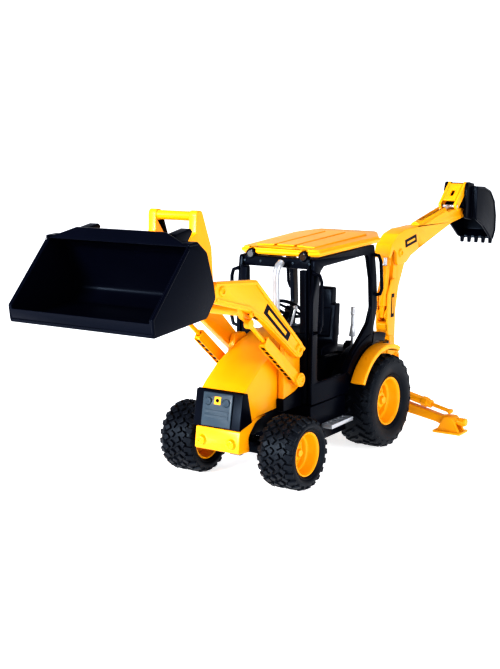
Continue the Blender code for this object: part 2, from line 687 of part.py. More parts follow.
def dipper():
    beam = [(226, 126), (236, 129.5), (263, 136), (317, 149), (334, 151.0, 3), (342.6, 152.5, 4), (342.6, 160.4, 4),
            (316, 160.0), (310, 158.7), (306, 160.6), (262, 152), (230, 151.5)]
    elbow = [(197.5, 131.5, 1.5), (202.4, 141.5, 4), (214, 148.6, 5), (228, 151.5), (250, 151.5), (250, 133.0),
             (236, 129.0, 3), (228, 124.2, 4), (211.5, 123.5, 3), (210.5, 134, 2), (206.5, 137.5, 1.5),
             (201.2, 130, 1.5)]
    slot = [(190, 110), (199.2, 130.8), (203.6, 139.2, 2), (215, 145.4, 3), (226, 148), (234.5, 142, 3),
            (236.6, 131), (236.6, 110)]
    shape = prism("X", beam, -DIPPER_HALF, DIPPER_HALF)
    shape = joined(shape, prism("X", elbow, -7, 7))
    shape = joined(shape, round_bar((0, *along_link_rod(-66)), (0, *along_link_rod(-14)), 4.4))
    shape = cut(shape, prism("X", slot, -4.4, 4.4))
    low_end = along_link_rod(-60, -2.2)
    high_end = along_link_rod(10, -2.2)
    channel = [low_end, high_end, (high_end[0], 175), (low_end[0], 175)]
    shape = cut(shape, prism("X", channel, -2.4, 2.4))
    shape = cut(shape, round_bar((-9, *DIG_PIVOT), (9, *DIG_PIVOT), 2.0, 16))
    return joined(shape, round_bar((-6.6, *ELBOW), (6.6, *ELBOW), 2.4))


def ram_barrel():
    foot = Vector((0, *RAM_FOOT))
    way = (Vector((0, *RAM_HEAD)) - foot).normalized()
    shape = round_bar(foot + way * 7.4, foot + way * 40, 3.6)
    shape = joined(shape, box((-1.9, 198.8, 82), (1.9, 203, 93)))
    return cut(shape, round_bar(foot + way * 13, foot + way * 45, 1.9, 16))


def ram_rod():
    foot = Vector((0, *RAM_FOOT))
    way = (Vector((0, *RAM_HEAD)) - foot).normalized()
    rod = round_bar(foot + way * 18, Vector((0, *RAM_HEAD)), 1.5, 14)
    return joined(rod, round_bar((-2.6, *RAM_HEAD), (2.6, *RAM_HEAD), 1.8, 16))


def dig_rod():
    rod = round_bar((0, *along_link_rod(-46)), (0, *along_link_rod(-0.5)), 1.5, 14)
    return joined(rod, round_bar((-8.2, *LINK_FOOT), (8.2, *LINK_FOOT), 1.3, 14))


def tipping_link():
    cheek = [(*along_link(-3, -2.6), 2), (*along_link(27, -2.6), 2), (*along_link(27, 4.4), 2),
             (*along_link(-3, 4.4), 2)]
    web = [along_link(3.5, 2.4), along_link(24, 2.4), along_link(24, 4.2), along_link(3.5, 4.2)]
    shape = prism("X", web, -8.3, 8.3)
    for low, high in ((6.0, 8.4), (-8.4, -6.0)):
        shape = joined(shape, prism("X", cheek, low, high))
    window = [along_link(9, 0), along_link(16, 0), along_link(16, 8), along_link(9, 8)]
    shape = cut(shape, prism("X", window, -1.6, 1.6))
    return cut(shape, round_bar((-12, *LINK_FOOT), (12, *LINK_FOOT), 1.65, 14))


def backhoe_bucket():
    side = [(344.4, 150, 1), (360, 142.3), (375.2, 131.2, 0.8), (383, 129, 1), (387.3, 136, 3), (388, 150, 6),
            (384.5, 164, 6), (376, 173, 6), (362, 177.6, 4), (346, 179, 1)]
    hollow = [(347.2, 176.4, 1), (361.5, 175.7, 4), (374.8, 171.3, 5), (382.8, 163.2, 5), (386.0, 150, 5),
              (385.4, 137, 2), (381.2, 131.2), (379, 118), (330, 130), (330, 150.3), (346.2, 151)]
    shape = prism("X", side, -DIG_HALF, DIG_HALF)
    shape = cut(shape, prism("X", hollow, -DIG_HALF + 1.6, DIG_HALF - 1.6))
    bracket = [(332.6, 151.5, 4), (345.6, 149.5), (350, 178), (349.6, 181, 1), (337, 183.4, 3), (334.6, 176, 3)]
    for low, high in ((8.8, 11.2), (-11.2, -8.8)):
        shape = joined(shape, prism("X", bracket, low, high))
    web = [(344.6, 176), (349.5, 176), (349.6, 181), (345, 181.8)]
    shape = joined(shape, prism("X", web, -10, 10), round_bar((-10, *DIG_PIVOT), (10, *DIG_PIVOT), 1.6, 14))
    for index in range(5):
        x = (index - 2) * 6.9
        tooth = [(379.4, 131.4), (384.6, 131.4), (381.6, 125.2), (379.8, 125.2)]
        shape = joined(shape, prism("X", tooth, x - 1.4, x + 1.4))
    return shape


# ---------------------------------------------------------------- stabilisers
def stabiliser_leg():
    side = [(15.9, 13.6, 3), (15.9, 21.4, 3), (23, 21.8, 2), (62, 12.8), (66, 13.7, 1), (74, 12.4, 2),
            (74.5, 5.5, 2), (64, 5.2, 1), (57, 7.6), (24, 13.4)]
    shape = prism("Y", side, LEG_Y - 3, LEG_Y + 3)
    shape = joined(shape, round_bar((73, LEG_Y, 9), (82, LEG_Y, 9.4), 2.9, 16))
    for pivot in (LEG_PIVOT, FOOT_PIVOT):
        hole = round_bar((pivot[0], LEG_Y - 8, pivot[1]), (pivot[0], LEG_Y + 8, pivot[1]), 2.3, 16)
        shape = cut(shape, hole)
    return shape


def leg_way():
    start = Vector((LEG_RAM_FOOT[0], LEG_Y, LEG_RAM_FOOT[1]))
    end = Vector((LEG_RAM_HEAD[0], LEG_Y, LEG_RAM_HEAD[1]))
    return start, end, (end - start).normalized()


def leg_ram_barrel():
    start, end, way = leg_way()
    shape = round_bar(start - way * 3.5, start + way * 40, 3.2)
    shape = cut(shape, round_bar(start + way * 8, start + way * 44, 1.85, 16))
    hole = round_bar(start - Vector((0, 8, 0)), start + Vector((0, 8, 0)), 2.35, 16)
    eye = cut(round_bar(start - Vector((0, 3, 0)), start + Vector((0, 3, 0)), 4.2), hole)
    inside = round_bar(start - Vector((0, 8, 0)), start + Vector((0, 8, 0)), 2.35, 16)
    return joined(cut(shape, inside), eye)


def leg_ram_rod():
    start, end, way = leg_way()
    rod = round_bar(start + way * 22, end - way * 0.8, 1.5, 14)
    return joined(rod, round_bar(end - Vector((0, 2.6, 0)), end + Vector((0, 2.6, 0)), 1.6, 14))


def stabiliser_foot():
    pad = box((57, LEG_Y - 7.5, 0), (80, LEG_Y + 7.5, 1.8))
    gusset = [(59, 1), (78.5, 1), (72.6, 13, 3), (65.4, 13, 3)]
    for low in (LEG_Y - 5.6, LEG_Y + 3.4):
        pad = joined(pad, prism("Y", gusset, low, low + 2.2))
    pivot = FOOT_PIVOT
    return joined(pad, round_bar((pivot[0], LEG_Y - 5, pivot[1]), (pivot[0], LEG_Y + 5, pivot[1]), 1.9, 16))


# ---------------------------------------------------------------- bodies, from the root outwards
body("machine", (0, 0, 0))
body("front_axle", (0, 0, 24.8), "machine")
body("tie_rod_body", (0, 12.5, 26.6), "front_axle")
for hand, side in SIDES:
    body(f"steering_{hand}", (side * KINGPIN_X, 0, 24.8), "front_axle")
    body(f"front_wheel_{hand}", (side * FRONT_TRACK, 0, FRONT_RADIUS), f"steering_{hand}")
    body(f"rear_wheel_{hand}", (side * REAR_TRACK, WHEELBASE, REAR_RADIUS), "machine")
    body(f"lift_barrel_{hand}", (side * 26.2, *STRUT_FOOT), "machine")
    body(f"lift_rod_{hand}", (side * 26.2, *STRUT_HEAD), f"lift_barrel_{hand}")
    body(f"stabiliser_{hand}", (side * LEG_PIVOT[0], LEG_Y, LEG_PIVOT[1]), "machine")
    body(f"foot_{hand}", (side * FOOT_PIVOT[0], LEG_Y, FOOT_PIVOT[1]), f"stabiliser_{hand}")
    body(f"leg_barrel_{hand}", (side * LEG_RAM_FOOT[0], LEG_Y, LEG_RAM_FOOT[1]), "machine")
    body(f"leg_rod_{hand}", (side * LEG_RAM_HEAD[0], LEG_Y, LEG_RAM_HEAD[1]), f"leg_barrel_{hand}")
    body(f"lever_{hand}", (side * 7, 138.5, 71), "machine")
body("steering", WHEEL_CENTRE, "machine")
body("seat_turntable", (0, 101, 69.5), "machine")
body("loader", (0, *ARM_PIVOT), "machine")
body("bucket", (0, *TILT_PIVOT), "loader")
body("swing", (0, SWING_Y, 46), "machine")
body("boom_body", (0, *BOOM_PIVOT), "swing")
body("dipper_body", (0, *ELBOW), "boom_body")
body("ram_barrel_body", (0, *RAM_FOOT), "boom_body")
body("ram_rod_body", (0, *RAM_HEAD), "ram_barrel_body")
body("dig_rod_body", (0, *LINK_FOOT), "dipper_body")
body("link_body", (0, *LINK_FOOT), "dig_rod_body")
body("dig_bucket", (0, *DIG_PIVOT), "dipper_body")

# ---------------------------------------------------------------- pieces that stay with the frame
node("chassis_frame", chassis_frame(), "machine", "black")
node("front_bumper", bumper(), "machine", "yellow")
node("hood", hood(), "machine", "yellow")
node("grille_surround", grille_surround(), "machine", "black")
node("grille_panel", grille_panel(), "machine", "grey")
node("cab_tub", cab_tub(), "machine", "black")
node("cab_top_frame", cab_top_frame(), "machine", "black")
node("roof", roof(), "machine", "yellow")
node("seat", seat(), "seat_turntable", "black")
node("steering_wheel", steering_wheel(), "steering", "black")
node("exhaust", exhaust(), "machine", "silver")
node("rear_frame", rear_frame(), "machine", "black")
node("rear_axle", round_bar((-42, WHEELBASE, REAR_RADIUS), (42, WHEELBASE, REAR_RADIUS), 3.0), "machine", "silver")
node("front_axle_beam", axle_beam(), "front_axle", "black")
node("tie_rod", tie_rod(), "tie_rod_body", "black")

for hand, side in SIDES:
    node(f"cab_side_{hand}", on_side(cab_side(), side), "machine", "black")
    node(f"step_{hand}", on_side(step_board(), side), "machine", "silver")
    node(f"fender_{hand}", on_side(fender(), side), "machine", "yellow")
    node(f"loader_tower_{hand}", on_side(loader_tower(), side), "machine", "yellow")
    node(f"control_lever_{hand}", on_side(control_lever(7), side), f"lever_{hand}", "silver")
    node(f"steering_knuckle_{hand}", on_side(knuckle(), side), f"steering_{hand}", "black")
    front = (side * FRONT_TRACK, 0, FRONT_RADIUS)
    node(f"front_rim_{hand}", turned(rim_profile(FRONT_RIM, FRONT_WIDTH, 2.55), front, side),
         f"front_wheel_{hand}", "yellow")
    node(f"front_tyre_{hand}", turned(tyre_profile(FRONT_RADIUS, FRONT_WIDTH, FRONT_RIM), front, side),
         f"front_wheel_{hand}", "tyre")
    rear = (side * REAR_TRACK, WHEELBASE, REAR_RADIUS)
    node(f"rear_rim_{hand}", turned(rim_profile(REAR_RIM, REAR_WIDTH, 3.35), rear, side),
         f"rear_wheel_{hand}", "yellow")
    node(f"rear_tyre_{hand}", turned(tyre_profile(REAR_RADIUS, REAR_WIDTH, REAR_RIM), rear, side),
         f"rear_wheel_{hand}", "tyre")
    node(f"loader_arm_{hand}", on_side(loader_arm(), side), "loader", "yellow")
    node(f"lift_strut_barrel_{hand}", on_side(strut_barrel(), side), f"lift_barrel_{hand}", "yellow")
    node(f"lift_strut_rod_{hand}", on_side(strut_rod(), side), f"lift_rod_{hand}", "yellow")
    node(f"stabiliser_leg_{hand}", on_side(stabiliser_leg(), side), f"stabiliser_{hand}", "yellow")
    node(f"stabiliser_ram_barrel_{hand}", on_side(leg_ram_barrel(), side), f"leg_barrel_{hand}", "yellow")
    node(f"stabiliser_ram_rod_{hand}", on_side(leg_ram_rod(), side), f"leg_rod_{hand}", "yellow")
    node(f"stabiliser_foot_{hand}", on_side(stabiliser_foot(), side), f"foot_{hand}", "yellow")

# ---------------------------------------------------------------- loader and backhoe
node("arm_cross_member", cross_member(), "loader", "yellow")
node("hitch_frame", hitch_frame(), "bucket", "yellow")
node("loader_bucket", loader_bucket(), "bucket", "black")
node("swing_post", swing_post(), "swing", "yellow")
node("boom", boom(), "boom_body", "yellow")
node("dipper", dipper(), "dipper_body", "yellow")
node("dipper_ram_barrel", ram_barrel(), "ram_barrel_body", "yellow")
node("dipper_ram_rod", ram_rod(), "ram_rod_body", "silver")
node("bucket_ram_rod", dig_rod(), "dig_rod_body", "silver")
node("tipping_link", tipping_link(), "link_body", "yellow")
node("backhoe_bucket", backhoe_bucket(), "dig_bucket", "black")
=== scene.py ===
import bpy
import bmesh
import math
from mathutils import Matrix, Vector


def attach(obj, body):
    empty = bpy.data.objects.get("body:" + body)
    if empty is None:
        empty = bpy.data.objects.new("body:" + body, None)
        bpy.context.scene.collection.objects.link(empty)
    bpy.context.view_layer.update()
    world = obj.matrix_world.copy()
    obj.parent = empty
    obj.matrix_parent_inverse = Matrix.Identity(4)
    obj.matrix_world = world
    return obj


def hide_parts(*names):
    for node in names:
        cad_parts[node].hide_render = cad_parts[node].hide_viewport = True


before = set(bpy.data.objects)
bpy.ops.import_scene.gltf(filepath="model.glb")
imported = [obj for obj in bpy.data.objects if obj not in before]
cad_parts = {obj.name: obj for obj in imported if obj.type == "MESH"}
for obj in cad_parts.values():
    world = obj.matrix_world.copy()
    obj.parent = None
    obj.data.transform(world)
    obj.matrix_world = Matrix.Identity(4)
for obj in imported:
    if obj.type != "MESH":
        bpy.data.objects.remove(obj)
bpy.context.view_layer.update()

# ---------------------------------------------------------------- studio
# A plain white sweep under the toy, three soft boxes around it and a lens held level with the
# cab, a little to the left of the nose. Nothing here belongs to the toy.
AXLE_Y = -113.35

floor_shape = bmesh.new()
bmesh.ops.create_grid(floor_shape, x_segments=1, y_segments=1, size=6.0)
floor_mesh = bpy.data.meshes.new("studio_floor")
floor_shape.to_mesh(floor_mesh)
floor_shape.free()
studio_floor = bpy.data.objects.new("studio_floor", floor_mesh)
bpy.context.scene.collection.objects.link(studio_floor)
paper = bpy.data.materials.new("studio_paper")
paper.use_nodes = True
paper_shader = paper.node_tree.nodes["Principled BSDF"]
paper_shader.inputs["Base Color"].default_value = (0.93, 0.93, 0.93, 1)
paper_shader.inputs["Roughness"].default_value = 0.9
paper_shader.inputs["Emission Color"].default_value = (1, 1, 1, 1)
paper_shader.inputs["Emission Strength"].default_value = 0.55
floor_mesh.materials.append(paper)

world = bpy.data.worlds.new("studio_air")
bpy.context.scene.world = world
world.use_nodes = True
air = world.node_tree.nodes
wire_air = world.node_tree.links.new
look_up = air.new("ShaderNodeTexCoord")
split = air.new("ShaderNodeSeparateXYZ")
sky = air.new("ShaderNodeValToRGB")
sky.color_ramp.elements[0].position = 0.10
sky.color_ramp.elements[0].color = (1.0, 1.0, 1.0, 1)
sky.color_ramp.elements[1].position = 0.32
sky.color_ramp.elements[1].color = (0.26, 0.28, 0.33, 1)
wire_air(look_up.outputs["Generated"], split.inputs["Vector"])
wire_air(split.outputs["Z"], sky.inputs["Fac"])
wire_air(sky.outputs["Color"], air["Background"].inputs["Color"])
air["Background"].inputs["Strength"].default_value = 1.0


def soft_box(name, place, aim, width, height, watts, colour=(1, 1, 1)):
    """An area lamp of a given size at a place, turned towards a point."""
    lamp = bpy.data.lights.new(name, "AREA")
    lamp.shape = "RECTANGLE"
    lamp.size = width
    lamp.size_y = height
    lamp.energy = watts
    lamp.color = colour
    holder = bpy.data.objects.new(name, lamp)
    holder.location = place
    holder.rotation_euler = (Vector(aim) - Vector(place)).to_track_quat("-Z", "Y").to_euler()
    bpy.context.scene.collection.objects.link(holder)


soft_box("front_box", (-0.5, -1.7, 0.7), (0, -0.1, 0.08), 0.6, 0.6, 48)
soft_box("side_box", (1.5, -0.5, 0.6), (0, 0, 0.08), 0.5, 0.7, 10)
soft_box("top_box", (0.1, 0.3, 1.7), (0, 0, 0.05), 0.9, 0.9, 4)

lens = bpy.data.cameras.new("camera")
lens.lens = 66.59
lens.sensor_width = 36
lens.clip_start = 0.05
lens.clip_end = 30
eye = Vector((0.4662, -0.78605, 0.2536))
forward = (Vector((0.0, -0.10265, 0.0988)) - eye).normalized()
level = forward.cross(Vector((0, 0, 1))).normalized()
upright = level.cross(forward)
lean = math.radians(-0.7)
across = level * math.cos(lean) + upright * math.sin(lean)
along = upright * math.cos(lean) - level * math.sin(lean)
camera = bpy.data.objects.new("camera", lens)
camera.matrix_world = Matrix.Translation(eye) @ Matrix((across, along, -forward)).transposed().to_4x4()
bpy.context.scene.collection.objects.link(camera)
bpy.context.scene.camera = camera
bpy.context.scene.view_settings.view_transform = "Standard"
bpy.context.scene.view_settings.look = "High Contrast"

# ---------------------------------------------------------------- hood and bumper
# The engine cover is one glossy yellow moulding with a crowned top, open at the back. The
# bumper is a separate yellow block clipped under it with two round screw heads.
SIDES = (("left", 1), ("right", -1))


def moulding_group():
    """Slow colour drift, fine grain and faint handling smudges, as on every moulded part."""
    group = bpy.data.node_groups.new("moulding_marks", "ShaderNodeTree")
    for name, kind in (("Vector", "NodeSocketVector"), ("Colour", "NodeSocketColor"),
                       ("Deep", "NodeSocketColor"), ("Grain", "NodeSocketFloat"),
                       ("Roughness", "NodeSocketFloat"), ("Smudge", "NodeSocketFloat")):
        group.interface.new_socket(name=name, in_out="INPUT", socket_type=kind)
    for name, kind in (("Colour", "NodeSocketColor"), ("Roughness", "NodeSocketFloat"),
                       ("Height", "NodeSocketFloat")):
        group.interface.new_socket(name=name, in_out="OUTPUT", socket_type=kind)
    nodes = group.nodes
    wire = group.links.new
    inlet = nodes.new("NodeGroupInput")
    outlet = nodes.new("NodeGroupOutput")
    drift = nodes.new("ShaderNodeTexNoise")
    drift.inputs["Scale"].default_value = 16
    drift.inputs["Detail"].default_value = 3
    wire(inlet.outputs["Vector"], drift.inputs["Vector"])
    window = nodes.new("ShaderNodeMapRange")
    window.inputs["From Min"].default_value = 0.38
    window.inputs["From Max"].default_value = 0.72
    wire(drift.outputs["Fac"], window.inputs["Value"])
    tint = nodes.new("ShaderNodeMix")
    tint.data_type = "RGBA"
    wire(window.outputs["Result"], tint.inputs["Factor"])
    wire(inlet.outputs["Colour"], tint.inputs[6])
    wire(inlet.outputs["Deep"], tint.inputs[7])
    wire(tint.outputs[2], outlet.inputs["Colour"])
    smear = nodes.new("ShaderNodeTexNoise")
    smear.inputs["Scale"].default_value = 70
    smear.inputs["Detail"].default_value = 5
    smear.inputs["Distortion"].default_value = 0.6
    wire(inlet.outputs["Vector"], smear.inputs["Vector"])
    centred = nodes.new("ShaderNodeMath")
    centred.operation = "SUBTRACT"
    centred.inputs[1].default_value = 0.5
    wire(smear.outputs["Fac"], centred.inputs[0])
    share = nodes.new("ShaderNodeMath")
    share.operation = "MULTIPLY_ADD"
    wire(centred.outputs[0], share.inputs[0])
    wire(inlet.outputs["Smudge"], share.inputs[1])
    wire(inlet.outputs["Roughness"], share.inputs[2])
    wire(share.outputs[0], outlet.inputs["Roughness"])
    grain = nodes.new("ShaderNodeTexNoise")
    grain.inputs["Detail"].default_value = 2
    wire(inlet.outputs["Vector"], grain.inputs["Vector"])
    wire(inlet.outputs["Grain"], grain.inputs["Scale"])
    wire(grain.outputs["Fac"], outlet.inputs["Height"])
    return group


MOULDING = moulding_group()


def plastic(name, colour, deep, roughness, smudge, grain, relief, coat=0.0, metal=0.0, shine=0.5, painted_highlight_tint=(1, 1, 1)):
    """A moulded plastic: colour and its deeper drift, gloss, smudges, grain size, relief and a painted highlight tint.
    """
    finish = bpy.data.materials.new(name)
    finish.use_nodes = True
    nodes = finish.node_tree.nodes
    wire = finish.node_tree.links.new
    shader = nodes["Principled BSDF"]
    place = nodes.new("ShaderNodeTexCoord")
    marks = nodes.new("ShaderNodeGroup")
    marks.node_tree = MOULDING
    marks.inputs["Colour"].default_value = (*colour, 1)
    marks.inputs["Deep"].default_value = (*deep, 1)
    marks.inputs["Grain"].default_value = grain
    marks.inputs["Roughness"].default_value = roughness
    marks.inputs["Smudge"].default_value = smudge
    wire(place.outputs["Object"], marks.inputs["Vector"])
    relief_node = nodes.new("ShaderNodeBump")
    relief_node.inputs["Strength"].default_value = 0.35
    relief_node.inputs["Distance"].default_value = relief
    wire(marks.outputs["Height"], relief_node.inputs["Height"])
    wire(marks.outputs["Colour"], shader.inputs["Base Color"])
    wire(marks.outputs["Roughness"], shader.inputs["Roughness"])
    wire(relief_node.outputs["Normal"], shader.inputs["Normal"])
    shader.inputs["Metallic"].default_value = metal
    shader.inputs["Coat Weight"].default_value = coat
    shader.inputs["Coat Roughness"].default_value = 0.12
    shader.inputs["Specular IOR Level"].default_value = shine
    # The specular tint colours the highlights; on the black parts this paints in a bluish highlight.
    shader.inputs["Specular Tint"].default_value = (*painted_highlight_tint, 1)
    return finish


YELLOW = plastic("loader_yellow", (0.90, 0.40, 0.003), (0.88, 0.34, 0.002), 0.36, 0.10, 900, 0.00008, 0.05, 0.0, 0.28)


def working_copy(*nodes):
    """Solids copied from the frame in mm from the front axle, merged, flat faces made whole."""
    edit = bmesh.new()
    for node in nodes:
        edit.from_mesh(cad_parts[node].data)
    bmesh.ops.remove_doubles(edit, verts=edit.verts, dist=0.00001)
    bmesh.ops.dissolve_limit(edit, angle_limit=math.radians(0.8), verts=edit.verts, edges=edit.edges)
    bmesh.ops.scale(edit, vec=(1000, 1000, 1000), verts=edit.verts)
    bmesh.ops.translate(edit, vec=(0, -AXLE_Y, 0), verts=edit.verts)
    return edit


def settled(edit, name, body, finish, rounding=0.0, steps=2, stands_for=(), angle=30):
    """Brings a shape drawn in mm into place, rounds its edges and rides it on its body."""
    bmesh.ops.remove_doubles(edit, verts=edit.verts, dist=0.002)
    bmesh.ops.recalc_face_normals(edit, faces=edit.faces)
    bmesh.ops.translate(edit, vec=(0, AXLE_Y, 0), verts=edit.verts)
    bmesh.ops.scale(edit, vec=(0.001, 0.001, 0.001), verts=edit.verts)
    mesh = bpy.data.meshes.new(name)
    edit.to_mesh(mesh)
    edit.free()
    mesh.materials.append(finish)
    mesh.shade_smooth()
    piece = bpy.data.objects.new(name, mesh)
    bpy.context.scene.collection.objects.link(piece)
    if rounding:
        edge = piece.modifiers.new("edge", "BEVEL")
        edge.width = rounding * 0.001
        edge.segments = steps
        edge.limit_method = "ANGLE"
        edge.angle_limit = math.radians(angle)
        edge.use_clamp_overlap = False
        edge.harden_normals = True
    else:
        mesh.set_sharp_from_angle(angle=math.radians(angle))
    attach(piece, body)
    if stands_for:
        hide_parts(*stands_for)
    return piece


def block(edit, low, high):
    """A box between two corners."""
    size = Vector(high) - Vector(low)
    centre = (Vector(high) + Vector(low)) / 2
    made = bmesh.ops.create_cube(edit, size=1.0, matrix=Matrix.Translation(centre) @ Matrix.Diagonal((*size, 1)))
    return made["verts"]


def bar(edit, start, end, radius, end_radius=None, sides=24):
    """A round bar or cone between two points."""
    run = Vector(end) - Vector(start)
    turn = run.to_track_quat("Z", "Y").to_matrix().to_4x4()
    made = bmesh.ops.create_cone(edit, cap_ends=True, segments=sides, radius1=radius,
                                 radius2=radius if end_radius is None else end_radius, depth=run.length,
                                 matrix=Matrix.Translation((Vector(start) + Vector(end)) / 2) @ turn)
    return made["verts"]


def slab(edit, axis, outline, low, high):
    """A flat outline pushed from one distance to another along an axis."""
    put = {"X": lambda u, v: (low, u, v), "Y": lambda u, v: (u, low, v), "Z": lambda u, v: (u, v, low)}[axis]
    push = {"X": (high - low, 0, 0), "Y": (0, high - low, 0), "Z": (0, 0, high - low)}[axis]
    face = edit.faces.new([edit.verts.new(put(u, v)) for u, v in outline])
    grown = bmesh.ops.extrude_face_region(edit, geom=[face])
    moved = [item for item in grown["geom"] if isinstance(item, bmesh.types.BMVert)]
    bmesh.ops.translate(edit, vec=push, verts=moved)
    return moved


def screw_head(edit, centre, way, radius, height=0.7):
    """A domed round head with a sunk socket, standing on a face."""
    base = Vector(centre)
    out = Vector(way).normalized()
    turn = out.to_track_quat("Z", "Y").to_matrix().to_4x4()
    ring = [(radius, -0.3), (radius, height * 0.35), (radius * 0.8, height * 0.9), (radius * 0.5, height),
            (radius * 0.42, height * 0.35), (0, height * 0.35)]
    made = [edit.verts.new((r, 0, h)) for r, h in ring]
    edges = [edit.edges.new(pair) for pair in zip(made, made[1:])]
    spun = bmesh.ops.spin(edit, geom=made + edges, cent=(0, 0, 0), axis=(0, 0, 1), dvec=(0, 0, 0),
                          angle=math.tau, steps=18, use_merge=True, use_duplicate=False)
    whole = set(made)
    for face in {face for vert in made for face in vert.link_faces}:
        whole.update(face.verts)
    reach = list(whole)
    for vert in reach:
        for edge in vert.link_edges:
            other = edge.other_vert(vert)
            if other not in whole:
                whole.add(other)
                reach.append(other)
    bmesh.ops.transform(edit, matrix=Matrix.Translation(base) @ turn, verts=list(whole))


def rail(edit, points, radius, sides=16):
    """A round bead laid through several points, with a ball at each turn."""
    for start, end in zip(points, points[1:]):
        bar(edit, start, end, radius, sides=sides)
    for point in points:
        bmesh.ops.create_uvsphere(edit, u_segments=sides, v_segments=8, radius=radius,
                                  matrix=Matrix.Translation(point))


hood = working_copy("hood")
settled(hood, "hood_cover", "machine", YELLOW, 0.7, 3, ("hood",), 24)
bumper = working_copy("front_bumper")
settled(bumper, "bumper_block", "machine", YELLOW, 0.8, 3, ("front_bumper",), 24)
heads = bmesh.new()
for x in (-11.9, 11.9):
    screw_head(heads, (x, -32.9, 33), (0, -1, 0.05), 1.7)
settled(heads, "bumper_screws", "machine", YELLOW)

# ---------------------------------------------------------------- grille
# A black frame wraps the nose, and a grey-blue panel clips into it. The panel has two oval
# lamps, two pairs of long slots and a small plain square plate.
# Its specular tint paints a bluish highlight into the satin black.
BLACK = plastic("satin_black", (0.0014, 0.002, 0.0065), (0.001, 0.0014, 0.005), 0.30, 0.12, 1300, 0.00010, 0.0, 0.0, 0.09,
                (0.62, 0.80, 1.0))
SLATE = plastic("slate_grey", (0.028, 0.050, 0.072), (0.022, 0.040, 0.060), 0.36, 0.10, 1300, 0.00008, 0.0, 0.0, 0.3)

settled(working_copy("grille_surround"), "grille_frame", "machine", BLACK, 0.5, 3, ("grille_surround",), 24)
settled(working_copy("grille_panel"), "grille_plate", "machine", SLATE, 0.5, 3, ("grille_panel",), 24)


def nose_point(x, z, out=0.0):
    """A point on the leaning face of the grille panel."""
    return (x, -31.4 + (z - 43.5) * 0.21 - out, z)


trim = bmesh.new()
grooves = bmesh.new()
for low in (45.6, 48.2, 51.4, 54.6):
    wide = 8.8 if low < 46 else 9.6
    slab(grooves, "X", [nose_point(0, low, -0.4)[1:], nose_point(0, low, 0.16)[1:],
                        nose_point(0, low + 0.75, 0.16)[1:], nose_point(0, low + 0.75, -0.4)[1:]], -wide, wide)
for low in (49.1, 52.3):
    slab(trim, "X", [nose_point(0, low, -0.4)[1:], nose_point(0, low, 0.7)[1:],
                     nose_point(0, low + 1.9, 0.7)[1:], nose_point(0, low + 1.9, -0.4)[1:]], -9.4, 9.4)
for sign in (-1, 1):
    tilt = Matrix.Translation(nose_point(sign * 7.2, 60.2, 0.2)) @ Matrix.Rotation(math.radians(90 - 12), 4, "X")
    ring = bmesh.ops.create_cone(grooves, cap_ends=True, segments=32, radius1=1.0, radius2=0.95, depth=1.0)
    bmesh.ops.transform(grooves, matrix=tilt @ Matrix.Diagonal((3.3, 2.0, 0.8, 1)), verts=ring["verts"])
    ring = bmesh.ops.create_cone(trim, cap_ends=True, segments=32, radius1=1.0, radius2=0.8, depth=1.0)
    bmesh.ops.transform(trim, matrix=tilt @ Matrix.Diagonal((2.6, 1.35, 1.6, 1)), verts=ring["verts"])
settled(trim, "grille_slats", "machine", SLATE, 0.18, 2)
settled(grooves, "grille_grooves", "machine", BLACK, 0.1, 1)
plate = bmesh.new()
slab(plate, "X", [nose_point(0, 58.0, -0.3)[1:], nose_point(0, 58.0, 0.6)[1:],
                  nose_point(0, 63.2, 0.6)[1:], nose_point(0, 63.2, -0.3)[1:]], -2.6, 2.6)
settled(plate, "nose_plate", "machine", YELLOW, 0.25, 2)
dot = bmesh.new()
bar(dot, nose_point(0, 60.6, 0.4), nose_point(0, 60.6, 0.85), 1.3)
settled(dot, "nose_plate_dot", "machine", BLACK, 0.15, 2)

# ---------------------------------------------------------------- chassis and front axle
# A black ladder frame under the hood and cab. The axle beam rocks on it and carries a
# steering block on each end, joined by a thin rod.
for node, body, name in (("chassis_frame", "machine", "chassis_rails"), ("front_axle_beam", "front_axle", "axle_casting"),
                         ("tie_rod", "tie_rod_body", "steering_link"), ("rear_frame", "machine", "rear_bracket")):
    settled(working_copy(node), name, body, BLACK, 0.35, 2, (node,))
for hand, sign in SIDES:
    settled(working_copy(f"steering_knuckle_{hand}"), f"steering_block_{hand}", f"steering_{hand}", BLACK,
            0.3, 2, (f"steering_knuckle_{hand}",))

# ---------------------------------------------------------------- rims
# Deep-dished yellow rims, each moulded in one piece with stepped rings, a round hub and a
# ring of small bolt heads around it.
RIM_RINGS = [(0, 6.6), (2.2, 6.6), (2.6, 6.2), (2.6, 4.6), (4.7, 4.3), (5.2, 3.8), (5.2, 1.2), (9.9, 0.5),
             (10.6, 1.0), (11.0, 3.6), (11.5, 4.1), (12.4, 4.3), (12.8, 4.9), (13.2, 9.4), (13.7, 11.2),
             (14.3, 11.8), (14.9, 11.7), (15.2, 11.1), (15.2, 9.9), (14.6, 8.9), (14.6, -9.0), (15.2, -10.0),
             (15.2, -11.2), (14.6, -11.8), (13.8, -11.4), (13.4, -9.0), (13.0, -2.0), (9.8, -1.4), (4.2, -1.6),
             (3.9, -7.0), (0, -7.0)]


def turned(edit, profile, centre, sign, steps=96):
    """Rings of (radius, distance outwards) spun about a wheel's own axle."""
    made = [edit.verts.new((centre[0] + sign * out, centre[1], centre[2] + radius)) for radius, out in profile]
    edges = [edit.edges.new(pair) for pair in zip(made, made[1:])]
    bmesh.ops.spin(edit, geom=made + edges, cent=centre, axis=(1, 0, 0), dvec=(0, 0, 0), angle=math.tau,
                   steps=steps, use_merge=True, use_duplicate=False)


def around(centre, radius, angle, out):
    """A point beside a wheel: distance from the axle, angle about it, distance along it."""
    return Vector((centre[0] + out, centre[1] + radius * math.cos(angle), centre[2] + radius * math.sin(angle)))


